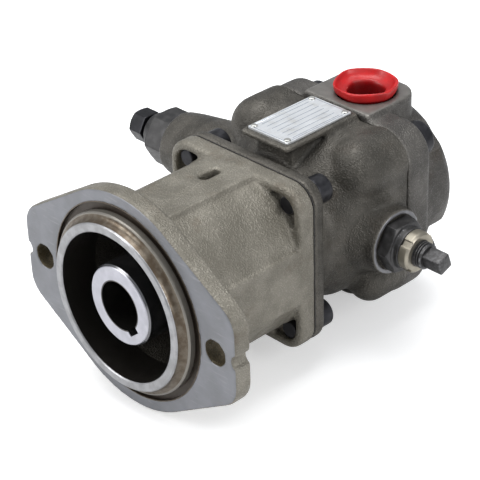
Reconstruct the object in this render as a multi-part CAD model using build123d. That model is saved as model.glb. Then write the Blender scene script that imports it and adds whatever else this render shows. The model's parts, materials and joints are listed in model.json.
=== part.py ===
"""Variable displacement vane pump with a keyed coupling adapter on its front.

Frame: the shaft lies along Y, the mounting face is the plane Y = 0 and the pump runs back to +Y.
X is the line of the control pistons and of the two flange holes, and Z is up. Millimetres.
"""

from build123d import *
from math import cos, pi, radians, sin, sqrt
import os

os.makedirs("parts", exist_ok=True)

# ---- driving dimensions --------------------------------------------------------------------------

# mounting flange and spigot
SPIGOT_R = 41.275
SPIGOT_STEP = 2.4           # height of the locating land
SPIGOT_HEIGHT = 6.35
SPIGOT_NOSE_R = 37.8        # front rim of the spigot, above the cove
RELIEF_R = 44.6             # relief groove round the spigot
RELIEF_DEPTH = 1.6
FLANGE_THICK = 9.0
FLANGE_CORE_R = 50.5
FLANGE_HOLE_SPAN = 106.4
FLANGE_HOLE_R = 5.6
FLANGE_EAR_R = 13.0
FLANGE_EAR_X = 52.0
FLANGE_EAR_Z = 12.0
FLANGE_NOTCH_R = 3.2

# adapter barrel
CAVITY_R = 33.8
BARREL_R = 40.0
PAD_HALF_WIDTH = 13.3
SQUARE_HALF = 39.7          # half the side of the square joint flange
SQUARE_CORNER_R = 11.0
JOINT_Y = 71.0              # rear face of the adapter
REAR_FLANGE_THICK = 8.5
POCKET_DEPTH = 4.2
SLOT_LENGTH = 11.0
SLOT_WIDTH = 5.0
GASKET = 0.5

# socket head screws: M8 at the adapter joint, M10 at the cover joint
ADAPTER_BOLTS = [(30.5, 31.0), (-30.5, 31.0), (30.5, -31.0), (-30.5, -31.0)]
ADAPTER_BOLT_R = 4.0
COVER_TOP_BOLTS = [(30.0, 30.0), (-30.0, 30.0)]
COVER_LOW_BOLTS = [(33.0, -24.5), (-33.0, -24.5)]
COVER_BOLTS = COVER_TOP_BOLTS + COVER_LOW_BOLTS
COVER_BOLT_R = 5.0
BOLT_HOLE_GAP = 0.45

# pump body
PUMP_FLANGE_THICK = 6.5
BODY_R = 40.0
NECK_R = 34.0
NECK_LENGTH = 9.0
CHAMBER_R = 34.2            # the space that the cam ring shifts in
TOP_LUG_R = 14.0
LOW_LUG_R = 11.0
NAMEPLATE_PAD = (28.0, 45.0)
NAMEPLATE_PAD_X = 0.5
PAD_TOP_Z = 45.2

# control axis, along X
STOP_BOSS_X = 49.6
STOP_BOSS_R = 15.0
SPRING_BOSS_X = -87.6
SPRING_BOSS_R = 16.8
SPRING_BORE_R = 11.5
STOP_BORE_R = 7.0

# valve cover
COVER_HALF_X = 44.0
COVER_TOP_Z = 43.0
COVER_BOTTOM_Z = -42.0
COVER_TOP_CORNER_R = 15.0
COVER_LOW_CORNER_R = 21.0
COVER_THICK = 14.5
PORT_X = 1.5
PORT_FACE_Z = 45.2
PORT_BLOCK_HALF_X = 19.5
OUTLET_BOSS_R = 20.0
OUTLET_FACE_Z = -52.0
INLET_R = 13.4
OUTLET_R = 10.2
PORT_DEPTH = 18.0
REAR_BOSS_R = 38.0
REAR_BOSS_ROUND = 9.0

# rotating group
SHAFT_R = 11.11             # keyed front end
KEY_WIDTH = 6.35
KEY_RISE = 2.4              # how far a key stands above its shaft
KEYWAY_ANGLE = -51.0        # the shaft's rest angle, from +X towards +Z
JOURNAL_R = 10.0
HUB_R = 18.4
HUB_FRONT_Y = -3.6
HUB_LENGTH = 60.0
HUB_BORE_DEPTH = 30.0       # room left for the driving shaft
RING_WIDTH = 20.0
ROTOR_R = 23.5
RING_IN_R = 26.0
RING_OUT_R = 31.0
ECCENTRICITY = 2.0
VANES = 11
VANE_THICK = 2.0
VANE_HEIGHT = 9.0
SPLINE_TEETH = 12
SPLINE_RISE = 1.4
FRONT_PLATE_THICK = 5.0
REAR_PLATE_THICK = 4.0

# stations along the shaft
CONTROL_Y = JOINT_Y + 41.0  # middle of the cam ring and of the two control screws
COVER_JOINT_Y = CONTROL_Y + RING_WIDTH / 2 + REAR_PLATE_THICK
PORT_Y = COVER_JOINT_Y + 18.5
PORT_BLOCK_END_Y = COVER_JOINT_Y + 36.0
REAR_BOSS_END_Y = COVER_JOINT_Y + 41.0

# fits
RUNNING = 0.05              # radial gap of a piece that turns or slides in another
SEATED = 0.02               # radial gap of a piece that is fixed in another
FACE_GAP = 0.1              # gap between faces that move past each other

# ---- helpers -------------------------------------------------------------------------------------


def along_y(radius, start, end, x=0.0, z=0.0):
    """A cylinder along Y from start to end."""
    plane = Plane(origin=(x, start, z), x_dir=(1, 0, 0), z_dir=(0, 1, 0))
    return extrude(plane * Circle(radius), end - start)


def along_x(radius, start, end, y=CONTROL_Y, z=0.0):
    """A cylinder along X from start to end, on the control axis unless another is given."""
    plane = Plane(origin=(start, y, z), x_dir=(0, 1, 0), z_dir=(1, 0, 0))
    return extrude(plane * Circle(radius), end - start)


def along_z(radius, start, end, x=0.0, y=PORT_Y):
    return Pos(x, y, start) * Cylinder(radius, end - start, align=(Align.CENTER, Align.CENTER, Align.MIN))


def cone_x(start, start_r, end, end_r):
    """A cone on the control axis."""
    profile = make_face(Polyline((start, 0), (start, start_r), (end, end_r), (end, 0), close=True))
    return Pos(0, CONTROL_Y, 0) * revolve(profile, Axis.X)


def outline_y(sketch, start, end):
    """Extrudes an outline drawn in X and Z from start to end along Y."""
    plane = Plane(origin=(0, start, 0), x_dir=(1, 0, 0), z_dir=(0, -1, 0))
    return extrude(plane * sketch, -(end - start))


def turned_y(points):
    """A turned piece from its half section, given as (radius, y) points."""
    return revolve(make_face(Polyline(*points, close=True)), Axis.Y)


def box(x0, x1, y0, y1, z0, z1):
    return Pos((x0 + x1) / 2, (y0 + y1) / 2, (z0 + z1) / 2) * Box(x1 - x0, y1 - y0, z1 - z0)


def hexagon_x(across_flats, start, end):
    """A hexagonal bar on the control axis with chamfered outer corners."""
    plane = Plane(origin=(start, CONTROL_Y, 0), x_dir=(0, 1, 0), z_dir=(1, 0, 0))
    bar = extrude(plane * RegularPolygon(across_flats / 2, 6, major_radius=False), end - start)
    corner = across_flats / sqrt(3)
    low, high = min(start, end), max(start, end)
    outer, inner = (high, low) if end > start else (low, high)
    nip = 1.2 if end > start else -1.2
    turned = cone_x(inner, corner, outer - nip, corner) + cone_x(outer - nip, corner, outer, corner - 1.6)
    return bar & turned


def edges_at(shape, axis, value, within=1e-3):
    """The edges of shape that lie in the plane where axis has this value."""
    return shape.edges().filter_by_position(axis, value - within, value + within)


def group(solids):
    return Compound(children=list(solids))


def save(shape, name):
    solids = shape.solids()
    keep = solids[0] if len(solids) == 1 else Compound(children=list(solids))
    export_step(keep, f"parts/{name}.step")


def square_outline(half, corner):
    return RectangleRounded(2 * half, 2 * half, corner)


def head_radius(bolt_r):
    return 1.6 * bolt_r


def socket_screw(bolt_r, x, z, seat, tip):
    """A socket head screw along Y whose head sits on the plane seat and whose thread ends at tip."""
    head_end = seat + 2 * bolt_r
    head = along_y(head_radius(bolt_r), seat, head_end, x, z)
    head = chamfer(edges_at(head, Axis.Y, head_end), 0.7)
    screw = head + along_y(bolt_r, tip, seat, x, z)
    socket = Plane(origin=(x, head_end, z), x_dir=(1, 0, 0), z_dir=(0, 1, 0))
    return screw - extrude(socket * RegularPolygon(0.78 * bolt_r, 6, major_radius=False), -bolt_r)


# ---- adapter -------------------------------------------------------------------------------------


def flange_outline():
    """The two bolt flange: a round core with straight flanks down to two blunt ears."""
    corners = [(sx * FLANGE_EAR_X, sz * FLANGE_EAR_Z) for sx in (1, -1) for sz in (1, -1)]
    circles = [Circle(FLANGE_CORE_R)] + [Pos(x, z) * Circle(FLANGE_EAR_R) for x, z in corners]
    outline = make_hull(Sketch(children=circles).edges())
    for side in (1, -1):
        outline -= Pos(side * (FLANGE_EAR_X + FLANGE_EAR_R + 0.8), 0) * Circle(FLANGE_NOTCH_R)
    return outline


def corner_pocket(x, z):
    """The hollow that clears a screw's end, between the barrel and the lip of the square flange."""
    front = JOINT_Y - REAR_FLANGE_THICK
    inner = SQUARE_HALF - 4.0
    side_x, side_z = (1 if x > 0 else -1), (1 if z > 0 else -1)
    quarter = Pos(side_x * (inner / 2 + 6), side_z * (inner / 2 + 6)) * Rectangle(inner - 12, inner - 12)
    lipped = quarter & square_outline(inner, SQUARE_CORNER_R - 3.5)
    return outline_y(lipped - Circle(BARREL_R + 0.6), front - 1, front + POCKET_DEPTH)


def adapter_housing():
    flange = outline_y(flange_outline(), 0, FLANGE_THICK)
    flange = fillet(edges_at(flange, Axis.Y, FLANGE_THICK), 2.0)
    flange = chamfer(edges_at(flange, Axis.Y, 0), 0.5)
    square_front = JOINT_Y - REAR_FLANGE_THICK
    barrel = along_y(BARREL_R, FLANGE_THICK / 2, JOINT_Y - 0.5)
    pads = outline_y(Rectangle(2 * SQUARE_HALF, 2 * PAD_HALF_WIDTH)
                     + Rectangle(2 * PAD_HALF_WIDTH, 2 * SQUARE_HALF), FLANGE_THICK / 2, JOINT_Y - 1)
    pads = pads & along_y(BARREL_R + 2.6, 0, JOINT_Y)
    square = outline_y(square_outline(SQUARE_HALF, SQUARE_CORNER_R), square_front, JOINT_Y)
    square = chamfer(edges_at(square, Axis.Y, square_front), 1.2)
    for x, z in ADAPTER_BOLTS:
        square -= corner_pocket(x, z)
    housing = flange + barrel + pads + square
    cove = 3.4
    spigot = revolve(make_face(
        Line((CAVITY_R - 1, 1), (CAVITY_R - 1, -SPIGOT_HEIGHT))
        + Line((CAVITY_R - 1, -SPIGOT_HEIGHT), (SPIGOT_NOSE_R - 0.6, -SPIGOT_HEIGHT))
        + Line((SPIGOT_NOSE_R - 0.6, -SPIGOT_HEIGHT), (SPIGOT_NOSE_R, -SPIGOT_HEIGHT + 0.6))
        + RadiusArc((SPIGOT_NOSE_R, -SPIGOT_HEIGHT + 0.6), (SPIGOT_R - 0.5, -SPIGOT_STEP), -cove)
        + Line((SPIGOT_R - 0.5, -SPIGOT_STEP), (SPIGOT_R, -SPIGOT_STEP + 0.5))
        + Line((SPIGOT_R, -SPIGOT_STEP + 0.5), (SPIGOT_R, 1))
        + Line((SPIGOT_R, 1), (CAVITY_R - 1, 1))), Axis.Y)
    housing -= along_y(RELIEF_R, -1, RELIEF_DEPTH) - along_y(SPIGOT_R, -2, RELIEF_DEPTH + 1)
    housing += spigot
    housing -= along_y(CAVITY_R, -SPIGOT_HEIGHT - 1, JOINT_Y + 1)
    for side in (1, -1):
        housing -= along_y(FLANGE_HOLE_R, -1, FLANGE_THICK + 1, side * FLANGE_HOLE_SPAN / 2)
    for x, z in ADAPTER_BOLTS:
        housing -= along_y(ADAPTER_BOLT_R + SEATED, square_front - 1, JOINT_Y + 1, x, z)
    slot = Pos(-1, 50.5) * SlotOverall(SLOT_LENGTH, SLOT_WIDTH, rotation=90)
    housing -= Pos(0, 0, CAVITY_R - 6) * extrude(slot, 14)
    return housing


def joint_gasket():
    sheet = outline_y(square_outline(SQUARE_HALF - 0.2, SQUARE_CORNER_R), JOINT_Y, JOINT_Y + GASKET)
    sheet -= along_y(CAVITY_R, JOINT_Y - 1, JOINT_Y + 2)
    for x, z in ADAPTER_BOLTS:
        sheet -= along_y(ADAPTER_BOLT_R + BOLT_HOLE_GAP, JOINT_Y - 1, JOINT_Y + 2, x, z)
    return sheet


# ---- pump body -----------------------------------------------------------------------------------

BODY_FRONT_Y = JOINT_Y + GASKET
BODY_FLANGE_END = BODY_FRONT_Y + PUMP_FLANGE_THICK
RING_FRONT_Y = CONTROL_Y - RING_WIDTH / 2
RING_REAR_Y = CONTROL_Y + RING_WIDTH / 2
CHAMBER_FRONT_Y = RING_FRONT_Y - FRONT_PLATE_THICK
BEARING_R = 21.0
BEARING_WIDTH = 12.0
BEARING_Y = BODY_FRONT_Y + 11.5
SEAL_R = 17.5
SEAL_WIDTH = 7.0
SEAL_Y = BODY_FRONT_Y + 3.5
CIRCLIP_Y = BODY_FRONT_Y + 1.9


def body_shell():
    """The outside of the pump body before its bores are cut."""
    flange = outline_y(square_outline(SQUARE_HALF, SQUARE_CORNER_R), BODY_FRONT_Y, BODY_FLANGE_END)
    flange = chamfer(edges_at(flange, Axis.Y, BODY_FLANGE_END), 1.5)
    neck = along_y(NECK_R, BODY_FLANGE_END - 1, BODY_FLANGE_END + NECK_LENGTH + 2)
    swell_y = BODY_FLANGE_END + NECK_LENGTH
    swell = turned_y([(0, swell_y - 3), (NECK_R - 2, swell_y - 3), (BODY_R, swell_y + 13),
                      (BODY_R, COVER_JOINT_Y), (0, COVER_JOINT_Y)])
    shell = flange + neck + swell
    for x, z in COVER_TOP_BOLTS:
        shell += round_lug(TOP_LUG_R, 13, x, z, BODY_FLANGE_END + 18.3)
    for x, z in COVER_LOW_BOLTS:
        shell += round_lug(LOW_LUG_R, 7, x, z, CONTROL_Y - 8)
    for side in (1, -1):
        web = box(side * 18 - 16, side * 18 + 16, CONTROL_Y - 8, COVER_JOINT_Y, 20, PAD_TOP_Z - 4)
        shell += fillet(edges_at(web, Axis.Y, CONTROL_Y - 8), 6)
        shell += box(min(0, side * 41), max(0, side * 41), CONTROL_Y + 2, COVER_JOINT_Y, 6, 17)
    shell += cone_x(25, 24, STOP_BOSS_X - 5, STOP_BOSS_R)
    shell += along_x(STOP_BOSS_R, STOP_BOSS_X - 6, STOP_BOSS_X)
    shell += cone_x(-25, 24.5, SPRING_BOSS_X + 8, SPRING_BOSS_R)
    shell += cone_x(SPRING_BOSS_X + 8, SPRING_BOSS_R, SPRING_BOSS_X, SPRING_BOSS_R - 1.5)
    beside_cover = box(-COVER_HALF_X - 0.4, 80, COVER_JOINT_Y, 160, -60, 60)
    return shell - beside_cover


def round_lug(radius, nose, x, z, start):
    """A screw boss with a rounded front that ends at the cover joint."""
    lug = along_y(radius, start, COVER_JOINT_Y, x, z)
    return fillet(edges_at(lug, Axis.Y, start), nose)


def nameplate_pad():
    width, length = NAMEPLATE_PAD
    end_y = COVER_JOINT_Y - 0.3
    pad = box(NAMEPLATE_PAD_X - width / 2, NAMEPLATE_PAD_X + width / 2, end_y - length, end_y,
              PAD_TOP_Z - 3.0, PAD_TOP_Z)
    pad = fillet(pad.edges().filter_by(Axis.Z), 1.5)
    stem_front = end_y - length + 6
    stem = box(NAMEPLATE_PAD_X - width / 2 + 3, NAMEPLATE_PAD_X + width / 2 - 3,
               stem_front, end_y, NECK_R - 6, PAD_TOP_Z - 2)
    return pad + stem


def pump_body():
    body = body_shell() + nameplate_pad()
    body -= along_y(CHAMBER_R, CHAMBER_FRONT_Y, COVER_JOINT_Y + 1)
    body -= along_y(BEARING_R + SEATED, BEARING_Y, CHAMBER_FRONT_Y + 1)
    body -= along_y(SEAL_R + SEATED, SEAL_Y, BEARING_Y + 1)
    body -= along_y(SEAL_R + 0.8, CIRCLIP_Y, SEAL_Y)
    body -= along_y(SEAL_R - 1.2, BODY_FRONT_Y - 1, SEAL_Y + 1)
    body -= along_x(STOP_BORE_R, 20, STOP_BOSS_X + 1)
    body -= along_x(STOP_BORE_R + 2, STOP_BOSS_X - 10, STOP_BOSS_X + 1)
    body -= along_x(STOP_BOSS_R - 2.0, STOP_BOSS_X - 1.2, STOP_BOSS_X + 1)
    body -= along_x(SPRING_BORE_R, SPRING_BOSS_X - 1, -20)
    for x, z in ADAPTER_BOLTS:
        body -= along_y(ADAPTER_BOLT_R + BOLT_HOLE_GAP, BODY_FRONT_Y - 1, BODY_FLANGE_END + 1, x, z)
        body -= along_y(head_radius(ADAPTER_BOLT_R) + 1.2, BODY_FLANGE_END, BODY_FLANGE_END + 11, x, z)
    for x, z in COVER_BOLTS:
        body -= along_y(COVER_BOLT_R + SEATED, CONTROL_Y - 7, COVER_JOINT_Y + 1, x, z)
    return body


# ---- valve cover ---------------------------------------------------------------------------------


def cover_outline():
    """The joint face: square shoulders for the upper screws, a rounder belly for the lower two."""
    low_x = COVER_HALF_X - COVER_LOW_CORNER_R
    top_x = COVER_HALF_X - COVER_TOP_CORNER_R
    circles = [Pos(sx * top_x, COVER_TOP_Z - COVER_TOP_CORNER_R) * Circle(COVER_TOP_CORNER_R)
               for sx in (1, -1)]
    circles += [Pos(sx * low_x, COVER_BOTTOM_Z + COVER_LOW_CORNER_R) * Circle(COVER_LOW_CORNER_R)
                for sx in (1, -1)]
    return make_hull(Sketch(children=circles).edges())


def valve_cover():
    end_y = COVER_JOINT_Y + COVER_THICK
    slab = outline_y(cover_outline(), COVER_JOINT_Y, end_y)
    slab = fillet(edges_at(slab, Axis.Y, end_y), 2.5)
    block = box(-PORT_BLOCK_HALF_X, PORT_BLOCK_HALF_X, COVER_JOINT_Y, PORT_BLOCK_END_Y, 0, PORT_FACE_Z)
    rear_corners = block.edges().filter_by(Axis.Z).sort_by(Axis.Y)[-2:]
    block = fillet(rear_corners, 11)
    block = chamfer(edges_at(block, Axis.Z, PORT_FACE_Z), 0.5)
    rear = along_y(REAR_BOSS_R, end_y - 3, REAR_BOSS_END_Y)
    rear = fillet(edges_at(rear, Axis.Y, REAR_BOSS_END_Y), REAR_BOSS_ROUND)
    outlet = along_z(OUTLET_BOSS_R, OUTLET_FACE_Z, 0)
    outlet = fillet(edges_at(outlet, Axis.Z, OUTLET_FACE_Z), 1.5)
    outlet &= box(-30, 30, COVER_JOINT_Y, REAR_BOSS_END_Y + 3, OUTLET_FACE_Z - 1, 1)
    cover = slab + block + rear + outlet
    cover -= along_z(INLET_R, PORT_FACE_Z - PORT_DEPTH, PORT_FACE_Z + 1, PORT_X)
    cover -= along_z(OUTLET_R, OUTLET_FACE_Z - 1, OUTLET_FACE_Z + PORT_DEPTH)
    cover -= along_z(OUTLET_R + 6, OUTLET_FACE_Z - 1, OUTLET_FACE_Z + 0.8)
    cover -= along_y(JOURNAL_R + 3 + SEATED, COVER_JOINT_Y - 1, COVER_JOINT_Y + 20)
    for side, radius, reach in ((1, 7.0, PORT_FACE_Z - PORT_DEPTH), (-1, 6.0, -OUTLET_FACE_Z - PORT_DEPTH)):
        cover -= along_y(radius, COVER_JOINT_Y - 1, PORT_Y, 0, side * 22.0)
        cover -= along_z(radius - 1, min(side * 22, side * reach) - 1, max(side * 22, side * reach) + 1)
    for x, z in COVER_BOLTS:
        cover -= along_y(COVER_BOLT_R + BOLT_HOLE_GAP, COVER_JOINT_Y - 1, end_y + 1, x, z)
        cover -= along_y(head_radius(COVER_BOLT_R) + 1.0, end_y - 0.8, REAR_BOSS_END_Y + 1, x, z)
    return cover


# ---- fasteners -----------------------------------------------------------------------------------


def adapter_screws():
    tip = JOINT_Y - REAR_FLANGE_THICK + 1.5
    return group(socket_screw(ADAPTER_BOLT_R, x, z, BODY_FLANGE_END, tip) for x, z in ADAPTER_BOLTS)


def cover_screws():
    seat = COVER_JOINT_Y + COVER_THICK - 0.8
    return group(socket_screw(COVER_BOLT_R, x, z, seat, CONTROL_Y - 5) for x, z in COVER_BOLTS)


PLATE_THICK = 0.8


def nameplate():
    width, length = NAMEPLATE_PAD
    plate = box(-width / 2 + 2, width / 2 - 2, -length / 2 + 2.5, length / 2 - 2.5, 0, PLATE_THICK)
    plate = fillet(plate.edges().filter_by(Axis.Z), 0.8)
    for x, y in nameplate_pins():
        plate -= Pos(x, y, 0) * Cylinder(0.95, 4)
    return Pos(NAMEPLATE_PAD_X, COVER_JOINT_Y - 0.3 - length / 2, PAD_TOP_Z) * plate


def nameplate_pins():
    width, length = NAMEPLATE_PAD
    return [(sx * (width / 2 - 4), sy * (length / 2 - 4.6)) for sx in (1, -1) for sy in (1, -1)]


def drive_pins():
    length = NAMEPLATE_PAD[1]
    pins = []
    for x, y in nameplate_pins():
        head = Pos(0, 0, PLATE_THICK + 0.35) * Cylinder(1.5, 0.7)
        head = fillet(edges_at(head, Axis.Z, PLATE_THICK + 0.7), 0.5)
        pin = head + Pos(0, 0, PLATE_THICK / 2) * Cylinder(0.9, PLATE_THICK)
        pins.append(Pos(NAMEPLATE_PAD_X + x, COVER_JOINT_Y - 0.3 - length / 2 + y, PAD_TOP_Z) * pin)
    return group(pins)


# ---- inlet plug ----------------------------------------------------------------------------------

PLUG_RIM_R = 17.0
PLUG_RIM_H = 4.6
PLUG_WALL = 1.6
PLUG_DEPTH = 12.0


def inlet_plug():
    """The plastic transit plug: a hexagonal cup whose threaded spigot closes the inlet."""
    rim = extrude(RegularPolygon(PLUG_RIM_R, 6, rotation=15), PLUG_RIM_H)
    rim = fillet(rim.edges().filter_by(Axis.Z), 4.0)
    hollow = extrude(RegularPolygon(PLUG_RIM_R - PLUG_WALL, 6, rotation=15), PLUG_RIM_H)
    hollow = fillet(hollow.edges().filter_by(Axis.Z), 3.0)
    spigot_r = INLET_R - 0.3
    spigot = Pos(0, 0, -PLUG_DEPTH / 2) * Cylinder(spigot_r, PLUG_DEPTH)
    cup = rim - Pos(0, 0, 1.8) * hollow + spigot
    cup -= Pos(0, 0, -PLUG_DEPTH + 1.6) * Cylinder(
        spigot_r - 2.4, PLUG_DEPTH + 2, align=(Align.CENTER, Align.CENTER, Align.MIN))
    return Pos(PORT_X, PORT_Y, PORT_FACE_Z) * cup


# ---- rotating group ------------------------------------------------------------------------------

SHAFT_FRONT_Y = HUB_FRONT_Y + HUB_BORE_DEPTH
SHAFT_REAR_Y = COVER_JOINT_Y + 18
HUB_REAR_Y = HUB_FRONT_Y + HUB_LENGTH


def at_angle(shape, degrees):
    """Turns a shape about the shaft, from +X towards +Z."""
    return Rot(0, -degrees, 0) * shape


def keyway(start, end, depth_r, clearance=0.0):
    half = KEY_WIDTH / 2 + clearance
    return at_angle(box(0, depth_r + clearance, start, end, -half, half), KEYWAY_ANGLE)


def coupling_hub():
    hub = along_y(HUB_R, HUB_FRONT_Y, HUB_REAR_Y)
    hub = chamfer(edges_at(hub, Axis.Y, HUB_FRONT_Y), 1.0)
    hub = chamfer(edges_at(hub, Axis.Y, HUB_REAR_Y), 1.0)
    hub -= along_y(SHAFT_R, HUB_FRONT_Y - 1, HUB_REAR_Y + 1)
    hub -= along_y(SHAFT_R + 0.6, SHAFT_FRONT_Y - 1.5, SHAFT_FRONT_Y + 0.4)
    hub -= keyway(HUB_FRONT_Y - 1, HUB_REAR_Y + 1, SHAFT_R + KEY_RISE)
    screw_y = SHAFT_FRONT_Y + 12
    hub -= at_angle(Pos(SHAFT_R + 4, screw_y, 0) * Rot(0, 90, 0) * Cylinder(3.0 + SEATED, 12), KEYWAY_ANGLE)
    return hub


def hub_set_screw():
    screw = Pos(SHAFT_R + KEY_RISE + 2.2, SHAFT_FRONT_Y + 12, 0) * Rot(0, 90, 0) * (
        Cylinder(3.0, 4.0) - Pos(0, 0, 1) * extrude(RegularPolygon(1.5, 6), 2))
    return at_angle(screw, KEYWAY_ANGLE)


def spline_section(gap=0.0):
    """The toothed section that the shaft and the rotor share, drawn in X and Z."""
    section = Circle(JOURNAL_R + gap)
    for i in range(SPLINE_TEETH):
        angle = 360 / SPLINE_TEETH * i
        tooth = Pos(JOURNAL_R, 0) * Rectangle(2 * (SPLINE_RISE + gap), 2.4 + 2 * gap)
        section += Rot(0, 0, angle) * tooth
    return section


def drive_shaft():
    seat = CHAMBER_FRONT_Y
    shaft = along_y(SHAFT_R - SEATED, SHAFT_FRONT_Y, SEAL_Y - 3)
    shaft = chamfer(edges_at(shaft, Axis.Y, SHAFT_FRONT_Y), 1.2)
    shaft += along_y(JOURNAL_R, SEAL_Y - 4, SHAFT_REAR_Y)
    shaft += along_y(JOURNAL_R + 2.5, BEARING_Y + BEARING_WIDTH, seat + 0.5)
    shaft += outline_y(spline_section(), RING_FRONT_Y + 0.4, RING_REAR_Y - 0.4)
    shaft -= keyway(SHAFT_FRONT_Y + 4, HUB_REAR_Y - 4, SHAFT_R + KEY_RISE) - along_y(
        SHAFT_R - 3.2, 0, JOINT_Y)
    return shaft


def shaft_key():
    key = keyway(SHAFT_FRONT_Y + 4.1, HUB_REAR_Y - 4.1, SHAFT_R + KEY_RISE, -SEATED)
    return key - along_y(SHAFT_R - 3.2 + SEATED, 0, JOINT_Y)


def vane_slots(gap):
    """The slots of the rotor, each ending in the round hole that feeds oil under its vane."""
    slots = Sketch()
    root = ROTOR_R - VANE_HEIGHT - 0.6
    for i in range(VANES):
        slot = Pos((root + ROTOR_R + 2) / 2, 0) * Rectangle(ROTOR_R + 2 - root, VANE_THICK + 2 * gap)
        slots += Rot(0, 0, 360 / VANES * i) * (slot + Pos(root, 0) * Circle(VANE_THICK * 0.8))
    return slots


def vane_rotor():
    section = Circle(ROTOR_R) - vane_slots(RUNNING) - spline_section(SEATED)
    return outline_y(section, RING_FRONT_Y + FACE_GAP, RING_REAR_Y - FACE_GAP)


def vane(index):
    """One vane, drawn back in its slot, with a single bevel at its tip."""
    length = RING_WIDTH - 2 * FACE_GAP
    low, high = ROTOR_R - VANE_HEIGHT, ROTOR_R - 0.1
    half = VANE_THICK / 2
    face = make_face(Polyline((low, -half), (high - 0.8, -half), (high, half), (low, half), close=True))
    blade = outline_y(Rot(0, 0, 360 / VANES * index) * face,
                      RING_FRONT_Y + FACE_GAP, RING_FRONT_Y + FACE_GAP + length)
    return blade


# ---- cam ring and port plates --------------------------------------------------------------------


def cam_ring():
    """The ring that the vanes run in, at full stroke: pushed to +X against the stop."""
    ring = along_y(RING_OUT_R, RING_FRONT_Y + FACE_GAP, RING_REAR_Y - FACE_GAP, ECCENTRICITY)
    flat = RING_OUT_R - 0.6
    ring -= box(ECCENTRICITY + flat, 60, RING_FRONT_Y, RING_REAR_Y, -8, 8)
    ring -= box(-60, ECCENTRICITY - flat, RING_FRONT_Y, RING_REAR_Y, -9, 9)
    ring -= along_y(RING_IN_R, RING_FRONT_Y - 1, RING_REAR_Y + 1, ECCENTRICITY)
    return ring


def kidney(radius, width, start, end):
    """A curved slot, as an outline in X and Z, from start to end in degrees."""
    path = CenterArc((0, 0), radius, start, end - start)
    ends = [(radius * cos(radians(a)), radius * sin(radians(a))) for a in (start, end)]
    band = Circle(radius + width / 2) - Circle(radius - width / 2)
    wedge = make_face(Polyline((0, 0), *[(60 * cos(radians(a)), 60 * sin(radians(a)))
                                         for a in (start, (start + end) / 2, end)], close=True))
    slot = band & wedge
    for x, z in ends:
        slot += Pos(x, z) * Circle(width / 2)
    return slot


def port_plate(start, end, through):
    """A wear plate with its two kidney ports; in the front plate they are only balance recesses."""
    plate = along_y(CHAMBER_R - SEATED, start, end)
    depth_start, depth_end = (start - 1, end + 1) if through else (end - 1.5, end + 1)
    for middle in (90, 270):
        plate -= outline_y(kidney(22.0, 5.0, middle - 52, middle + 52), depth_start, depth_end)
    groove = (start - 1, start + 1.2) if through else (end - 1.2, end + 1)
    plate -= outline_y(Circle(15.6) - Circle(13.4), *groove)
    bore = JOURNAL_R + 3.2
    return plate - along_y(bore, start - 1, end + 1)


# ---- bearings and seal ---------------------------------------------------------------------------

BALLS = 9
BALL_R = 3.1
BALL_GAP = 0.1
BALL_PATH_R = (BEARING_R + JOURNAL_R) / 2
BEARING_MID_Y = BEARING_Y + BEARING_WIDTH / 2


def bearing_groove(gap):
    plane = Plane.XY * Pos(BALL_PATH_R, BEARING_MID_Y)
    return revolve(plane * Circle(BALL_R + gap), Axis.Y)


def bearing_race(inner, outer):
    race = along_y(outer, BEARING_Y + 0.02, BEARING_Y + BEARING_WIDTH - 0.02) - along_y(
        inner, BEARING_Y - 1, BEARING_Y + BEARING_WIDTH + 1)
    return race - bearing_groove(BALL_GAP)


def bearing_balls():
    balls = []
    for i in range(BALLS):
        angle = 2 * pi * i / BALLS
        balls.append(Pos(BALL_PATH_R * cos(angle), BEARING_MID_Y, BALL_PATH_R * sin(angle)) * Sphere(BALL_R))
    return group(balls)


def ball_cage():
    cage = along_y(BALL_PATH_R + 1.1, BEARING_MID_Y - 3.9, BEARING_MID_Y + 3.9) - along_y(
        BALL_PATH_R - 1.1, BEARING_MID_Y - 5, BEARING_MID_Y + 5)
    pocket = Pos(BALL_PATH_R, BEARING_MID_Y, 0) * Rot(0, 90, 0) * Cylinder(BALL_R + BALL_GAP, 8)
    for i in range(BALLS):
        cage -= at_angle(pocket, 360 / BALLS * i)
    return cage


def shaft_seal():
    """A lip seal: a stiff case with a flexible lip that leans towards the oil."""
    lip = JOURNAL_R + RUNNING
    return turned_y([(lip + 1.2, SEAL_Y + 0.05), (SEAL_R, SEAL_Y + 0.05), (SEAL_R, SEAL_Y + SEAL_WIDTH),
                     (SEAL_R - 1.6, SEAL_Y + SEAL_WIDTH), (SEAL_R - 1.6, SEAL_Y + 1.8),
                     (lip + 3.0, SEAL_Y + 1.8), (lip + 1.8, SEAL_Y + 5.6), (lip, SEAL_Y + 4.6)])


def seal_circlip():
    ring = along_y(SEAL_R + 0.7, CIRCLIP_Y + 0.05, SEAL_Y - 0.05) - along_y(SEAL_R - 2.4, CIRCLIP_Y - 1, SEAL_Y + 1)
    return ring - box(-3, 3, 70, 80, -30, -10)


def rear_bush():
    return along_y(JOURNAL_R + 3, COVER_JOINT_Y + 0.2, COVER_JOINT_Y + 19) - along_y(
        JOURNAL_R + RUNNING, COVER_JOINT_Y - 1, COVER_JOINT_Y + 20)


# ---- stop screw, at +X ---------------------------------------------------------------------------

STOP_PITCH = 1.75
STOP_SCREW_R = 5.9
STOP_PLUG_END = STOP_BOSS_X + 8.4
LOCKNUT_END = STOP_PLUG_END + 5.0
STOP_TRAVEL = 2.0
STOP_PAD_X = RING_OUT_R - 0.6 + ECCENTRICITY + FACE_GAP
STOP_PAD_END = STOP_PAD_X + 7.0


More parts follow.
